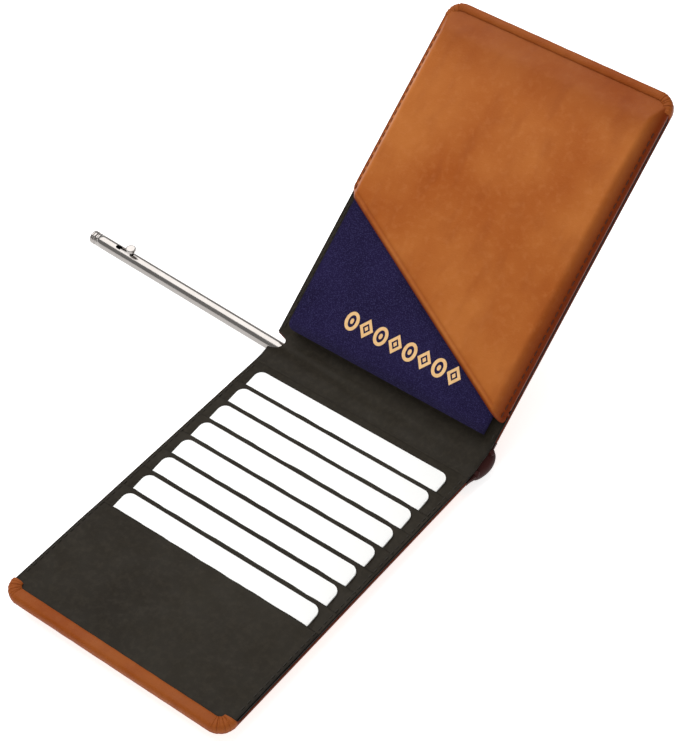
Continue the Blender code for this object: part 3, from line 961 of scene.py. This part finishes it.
def pocket_front_rows():
    """Rows up the pocket's front, close together near its rolled diagonal lip.

    Also gives how far each point is from the lip.
    """
    near = [0, 0.12, 0.3, 0.55, 0.9, 1.3, 1.7, 2.1, 2.5, 2.9, 3.5, 4.4, 5.6, 7.0, 9.0]
    beyond = 60
    slope = math.hypot(1, (DIAGONAL_LEFT - DIAGONAL_RIGHT) / (2 * LINING_HALF))
    columns = side_columns(LINING_HALF)
    top = LENGTH - 1.5
    end_seam = LENGTH - 5.4
    rows = []
    from_lip = []
    for number in range(len(near) + beyond):
        row = []
        dist = []
        for u in columns:
            x = u * LINING_HALF
            low = diagonal(x)
            if number < len(near):
                y = low + near[number] * slope
            else:
                share = (number - len(near) + 1) / beyond
                y = mix(low + near[-1] * slope, top, share)
            x = u * end_half(y, LINING_HALF, 1.4)
            away = (y - low) / slope
            rolled = 0.75 * (1 - smooth(away / 1.1)) + 0.22 * math.exp(-((away - 2.3) / 0.35) ** 2)
            seam = 0.15 * math.exp(-((y - end_seam) / 0.35) ** 2) * smooth((x + 20) / 20)
            row.append((x, y, front_height(x, y) - rolled - seam))
            dist.append(away)
        rows.append(row)
        from_lip.append(dist)
    return rows, from_lip


def add_pocket_front(leather):
    rows, from_lip = pocket_front_rows()

    def wear_and_shade(i, j, point):
        away = from_lip[i][j]
        lip = 1.0 * (1 - smooth(away / 1.5)) + 0.3 * math.exp(-((away - 2.3) / 0.5) ** 2)
        # On the left the darkening is only the side's own dark edge. On the right it reaches 6.5 mm
        # in, as painted shade where the front falls away to the edge. The lip and the crease beside
        # it are darker, and the leather darkens towards the free end.
        reach = 6.5 if point[0] > 0 else 1.5
        side = 1.1 * (1 - smooth((HALF_WIDTH - abs(point[0]) - 0.2) / reach))
        end = 0.5 * (1 - smooth((LENGTH - point[1] - 3.0) / 26.0))
        return max(lip, side, end)

    bm = face_away_from(surface(rows, wear_and_shade), Vector((0, 90, FAR_BELOW)))
    add_piece("pocket_front", bm, leather, PASSPORT_SIDE, "passport_side",
              ("passport_pocket_front",), 1.0)


def add_booklet(cloth, paper, foil):
    """The booklet's cover, bent round its bound edge at the right, with its gilt band."""
    radius = 3.2
    low = BOOKLET_START
    high = BOOKLET_START + BOOKLET_LENGTH
    half_height = (BOOKLET_TOP - BOOKLET_BOTTOM) / 2
    centre = BOOKLET_BOTTOM + half_height
    bend = 1.3
    corner = [-44, -43.7, -43.2, -42.5, -41.8, -41.2]
    loop = [(x, BOOKLET_BOTTOM) for x in corner + steps(-38, 38, 12)]
    for turn in steps(-90, 90, 16):
        t = math.radians(turn)
        loop.append((BOOKLET_HALF - bend + bend * math.cos(t), centre + half_height * math.sin(t)))
    loop += [(x, BOOKLET_TOP) for x in steps(38, -38, 12) + corner[::-1]]
    rows = []
    for x, z in loop:
        off = radius - (x + BOOKLET_HALF)
        cut = radius - math.sqrt(max(radius ** 2 - off ** 2, 0)) if off > 0 else 0.0
        groove = 0.12 * math.exp(-((x - 38.5) / 0.7) ** 2) if z > centre else 0.0
        rows.append([(x, y, z - groove) for y in steps(low + cut, high - cut, 30)])

    def wear_and_shade(i, j, point):
        edge = min(point[0] + BOOKLET_HALF, point[1] - low, high - point[1])
        return 0.6 * (1 - smooth(edge / 0.8))

    bm = face_away_from(surface(rows, wear_and_shade), Vector((0, 66, centre)))
    add_piece("booklet_cover", bm, cloth, PASSPORT_SIDE, "passport_side",
              ("passport_front_cover", "passport_back_cover", "passport_bound_edge"), 0.45)
    dress(paper, "passport_pages")
    add_ornament(foil)


def flat_frame(bm, centre, outer, inner, sides):
    """A flat frame just above the booklet: a ring, or a diamond when it has four sides."""
    cx, cy = centre
    level = BOOKLET_TOP + 0.03
    loops = []
    for rx, ry in (outer, inner):
        loop = []
        for i in range(sides):
            t = 2 * math.pi * i / sides
            loop.append(bm.verts.new((cx + rx * math.cos(t), cy + ry * math.sin(t), level)))
        loops.append(loop)
    for i in range(sides):
        j = (i + 1) % sides
        bm.faces.new((loops[0][i], loops[0][j], loops[1][j], loops[1][i]))


def add_ornament(foil):
    """A gilt band of rings and diamonds, each with a small one inside, printed on the booklet."""
    bm = bmesh.new()
    count = 8
    pitch = 6.5
    middle_x = 1.5
    middle_y = 17.0
    pin_hole = (0.05, 0.05)
    for number in range(count):
        centre = (middle_x + pitch * (number - (count - 1) / 2), middle_y)
        if number % 2:
            flat_frame(bm, centre, (3.0, 3.9), (1.6, 2.1), 4)
            flat_frame(bm, centre, (0.8, 1.1), pin_hole, 4)
        else:
            flat_frame(bm, centre, (2.8, 3.7), (1.5, 2.4), 40)
            flat_frame(bm, centre, (0.7, 1.1), pin_hole, 24)
    face_away_from(bm, Vector((0, middle_y, FAR_BELOW)))
    add_piece("gilt_band", bm, foil, PASSPORT_SIDE, "passport_side",
              thickness=0.04)


# Stitching


# (share of the way along, share of the thread's radius, lift above the leather)
STITCH_PROFILE = [
    (0, 0.4, -0.16),
    (0.12, 0.85, 0.04),
    (0.35, 1, 0.12),
    (0.65, 1, 0.12),
    (0.88, 0.85, 0.04),
    (1, 0.4, -0.16),
]


def stitch(bm, start, end):
    """One stitch: a short thread that dips into the leather at both ends."""
    radius = 0.24
    up = Vector((0, 0, 1))
    along = end - start
    across = along.normalized().cross(up).normalized()
    rings = []
    for share, size, lift in STITCH_PROFILE:
        centre = start + along * share + up * lift
        ring = []
        for i in range(8):
            t = math.pi / 4 * i
            outward = across * math.cos(t) + up * math.sin(t)
            ring.append(bm.verts.new(centre + outward * radius * size))
        rings.append(ring)
    close_rings(bm, rings)


def stitch_row(points_at, start, stop):
    """Stitches between two places in Y. points_at gives the point on the leather at each."""
    pitch = 3.1
    length = 2.4
    bm = bmesh.new()
    count = int((stop - start) / pitch)
    for number in range(count):
        first = start + number * pitch
        stitch(bm, points_at(first), points_at(first + length))
    bmesh.ops.recalc_face_normals(bm, faces=bm.faces)
    return bm


def add_stitching(dark, brown):
    """Thread rows along both long edges of the pockets, the bare lining and the pocket front."""
    for side, sign in (("left", -1), ("right", 1)):
        x = sign * (HALF_WIDTH - 1.7)

        def on_pockets(y):
            number = max(0, math.ceil((y - FIRST_LIP) / CARD_PITCH))
            if number == 0:
                level = front_level(x, y)
            elif number < POCKETS:
                level = pocket_level(number, x, y)
            else:
                level = LINING_Z + 0.02
            return Vector((x, y, level))

        def on_lining(y):
            return Vector((x, y, 0))

        def on_front(y):
            return Vector((x, y, front_height(x, y)))

        bm = stitch_row(on_pockets, -LENGTH / 2 + 11, LENGTH / 2 - 3.5)
        add_piece(f"card_stitches_{side}", bm, dark, Matrix(), "card_side",
                  (f"card_side_seam_{side}",))

        bm = stitch_row(on_lining, 3.2, diagonal(x) - 2.6)
        add_piece(f"passport_stitches_{side}", bm, dark, PASSPORT_SIDE,
                  "passport_side", (f"passport_side_seam_{side}",))

        bm = stitch_row(on_front, diagonal(x) + 1.5, LENGTH - 11)
        add_piece(f"pocket_stitches_{side}", bm, brown, PASSPORT_SIDE,
                  "passport_side")


# Pen, in its own frame: +X towards the tip, Z upright, and X = 0 at the mouth of its channel.
# Profiles are (x, radius) points.

CAP_FRONT = -91.0
CAP_BACK = -98.4
BARREL_BACK = -95.4
BARREL_FRONT = 1.5
BORE = 2.0
SLOT_HALF = 0.95
SLOT_LENGTH = 6.9


def pen_place():
    """The pen's frame, from the CAD's end cap and the way the pen slides out."""
    axis = -PEN_OUT.normalized()
    tail = sum(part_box("pen_end_cap"), Vector()) / 2
    upright = (Vector((0, 0, 1)) - axis * axis.z).normalized()
    turn = Matrix((axis, upright.cross(axis), upright)).transposed().to_4x4()
    cap_middle = (CAP_FRONT + CAP_BACK) / 2
    return Matrix.Translation(tail - axis * cap_middle * MM) @ turn


def slot_cutter(place, knob_x):
    """A block through the barrel's upper wall, shaped like the bolt's slot."""
    outline = []
    quarter = math.pi / 2
    for centre, first in ((knob_x, -quarter), (knob_x - SLOT_LENGTH, quarter)):
        for turn in steps(first, first + math.pi, 23):
            outline.append((centre + SLOT_HALF * math.cos(turn), SLOT_HALF * math.sin(turn)))
    bm = bmesh.new()
    face = bm.faces.new([bm.verts.new((x, y, 0.8)) for x, y in outline])
    grown = bmesh.ops.extrude_face_region(bm, geom=[face])
    raised = [item for item in grown["geom"] if isinstance(item, bmesh.types.BMVert)]
    bmesh.ops.translate(bm, verts=raised, vec=(0, 0, 4))
    bmesh.ops.recalc_face_normals(bm, faces=bm.faces)
    return new_object("slot_cutter", bm, place)


def add_barrel(metal, place, knob_x):
    """The barrel, with a groove near its back end and the bolt's slot cut out."""
    tube = lathe([
        (BARREL_BACK, BORE), (BARREL_FRONT, BORE), (BARREL_FRONT, PEN_RADIUS - 0.1),
        *[(x, PEN_RADIUS) for x in steps(1.3, -94.3, 60)],
        (-94.45, PEN_RADIUS - 0.12), (-94.6, PEN_RADIUS), (-95.1, PEN_RADIUS),
        (BARREL_BACK, PEN_RADIUS - 0.25),
    ], 96)
    barrel = add_piece("barrel", tube, metal, place, "pen", ("pen_barrel",))
    cutter = slot_cutter(place, knob_x)
    slot = barrel.modifiers.new("slot", "BOOLEAN")
    slot.operation = "DIFFERENCE"
    slot.object = cutter
    apply_modifiers(barrel)
    bpy.data.objects.remove(cutter)


def add_end_cap(metal, place):
    """The stepped cap, with a plug inside the barrel and a hollow in its end."""
    plug = 1.88
    cap = lathe([
        (CAP_FRONT, 0), (CAP_FRONT, plug), (-95.5, plug), (-95.5, 2.25), (-95.95, 2.25),
        (-96.1, 2.5), (-96.25, PEN_RADIUS), (-96.85, PEN_RADIUS), (-96.95, 2.52), (-97.1, 2.45),
        (-97.25, 2.52), (-97.35, PEN_RADIUS), (-97.95, PEN_RADIUS), (-98.2, 2.52),
        (CAP_BACK, 2.2), (CAP_BACK, 1.5), (-98.25, 1.35), (-97.2, 1.35), (-97.2, 0),
    ], 72)
    add_piece("end_cap", cap, metal, place, "pen", ("pen_end_cap",))


def add_bolt_knob(metal, place, knob_x):
    """The knob on its stem. It is turned about X, then stood up in the slot."""
    head = lathe([
        (1.98, 0), (1.98, 0.75), (4.35, 0.75), (4.5, 0.9), (4.5, 1.6), (4.58, 1.8), (4.8, 1.95),
        (5.0, 1.88), (5.15, 1.95), (5.35, 1.88), (5.5, 1.95), (5.8, 1.95), (5.98, 1.8),
        (6.05, 1.5), (6.0, 0.6), (5.95, 0),
    ], 48)
    upright = Matrix.Rotation(-math.pi / 2, 4, "Y")
    bmesh.ops.transform(head, matrix=upright, verts=head.verts)
    bmesh.ops.translate(head, vec=(knob_x, 0, 0), verts=head.verts)
    add_piece("bolt_knob", head, metal, place, "pen_bolt", ("pen_bolt_knob",))


def add_tip_cone(metal, place):
    """The hollow cone that carries the refill's point, with a sleeve inside the barrel."""
    sleeve = 1.88
    tip = lathe([
        (-3.0, 1.3), (4.5, 1.3), (5.2, 0.8), (9.5, 0.8), (9.5, 1.05), (9.4, 1.15), (8.6, 1.3),
        (5.0, 1.98), (2.2, 2.55), (1.7, 2.6), (1.6, 2.5), (1.6, sleeve), (-3.0, sleeve),
    ], 72)
    add_piece("tip_cone", tip, metal, place, "pen", ("pen_tip_cone",))


def add_pen(metal, dark_metal):
    place = pen_place()
    knob = sum(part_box("pen_bolt_knob"), Vector()) / 2
    axis = place.col[0].xyz
    knob_x = axis.dot(knob - place.translation) / MM
    add_barrel(metal, place, knob_x)
    add_end_cap(metal, place)
    add_bolt_knob(metal, place, knob_x)
    add_tip_cone(metal, place)
    dress(dark_metal, "pen_bolt_carrier", "pen_spring")


# Stage


def softbox(name, location, target, width, height, power):
    light = bpy.data.lights.new(name, "AREA")
    light.shape = "RECTANGLE"
    light.size = width
    light.size_y = height
    light.energy = power
    obj = bpy.data.objects.new(name, light)
    bpy.context.scene.collection.objects.link(obj)
    obj.location = location
    aim = Vector(target) - Vector(location)
    obj.rotation_mode = "QUATERNION"
    obj.rotation_quaternion = aim.to_track_quat("-Z", "Y")


def add_stage():
    """White surroundings, a softly glowing floor just below the part, and two softboxes."""
    world = bpy.data.worlds.new("studio")
    bpy.context.scene.world = world
    world.use_nodes = True
    background = world.node_tree.nodes["Background"]
    background.inputs["Color"].default_value = (1.0, 1.0, 1.0, 1.0)
    background.inputs["Strength"].default_value = 0.40
    bpy.context.scene.view_settings.view_transform = "Standard"

    half = 1.6
    level = -0.0003
    corners = [(-half, -half), (half, -half), (half, half), (-half, half)]
    mesh = bpy.data.meshes.new("floor")
    mesh.from_pydata([(x, y, level) for x, y in corners], [], [(0, 1, 2, 3)])
    floor = bpy.data.objects.new("floor", mesh)
    bpy.context.scene.collection.objects.link(floor)
    s = Shader("floor", 0.9)
    s.set(Base_Color=(0.75, 0.75, 0.75, 1.0))
    s.set(Emission_Color=(1.0, 1.0, 1.0, 1.0), Emission_Strength=0.70)
    mesh.materials.append(s.material)

    target = (0.0, 0.06, 0.03)
    softbox("key", (-0.50, 0.24, 1.0), target, 1.3, 1.3, 15)
    softbox("fill", (0.5, -0.9, 0.6), target, 0.8, 0.5, 3)


def add_camera():
    """The photo's view, aimed beside the first hinge. The offsets are in metres."""
    azimuth = math.radians(37.3)
    elevation = math.radians(46.3)
    distance = 0.7927
    aim_left = 0.011
    aim_above = 0.0133
    back = Vector((
        math.sin(azimuth) * math.cos(elevation),
        -math.cos(azimuth) * math.cos(elevation),
        math.sin(elevation),
    ))
    right = Vector((math.cos(azimuth), math.sin(azimuth), 0))
    above = back.cross(right)
    near_hinge = HINGE_1 + Vector((0, 0.0025, 0))
    camera = bpy.data.cameras.new("camera")
    camera.sensor_width = 36
    camera.lens = 106
    obj = bpy.data.objects.new("camera", camera)
    bpy.context.scene.collection.objects.link(obj)
    obj.location = near_hinge - right * aim_left + above * aim_above + back * distance
    obj.rotation_mode = "QUATERNION"
    obj.rotation_quaternion = (-back).to_track_quat("-Z", "Y")
    bpy.context.scene.camera = obj


def main():
    add_camera()
    add_stage()
    leather = tan_leather()
    lining = dark_leather()
    metal = steel("steel", 0.17)
    add_covers(leather)
    add_flat_linings(lining)
    add_pocket_panels(lining)
    add_front_pocket(lining)
    add_top_strip(lining)
    add_cards(blank_card())
    add_fold_linings(lining)
    add_wrap(leather)
    add_booklet(booklet_cloth(), pages(), gilt())
    add_pocket_front(leather)
    add_stitching(thread("dark_thread", (0.02, 0.017, 0.013)),
                  thread("brown_thread", (0.055, 0.014, 0.006)))
    add_pen(metal, steel("dark_steel", 0.3))
    dress(backing_cloth(), "card_side_backing")
    dress(refill_plastic(), "pen_refill_tube")
    dress(brass(), "pen_refill_point")


main()
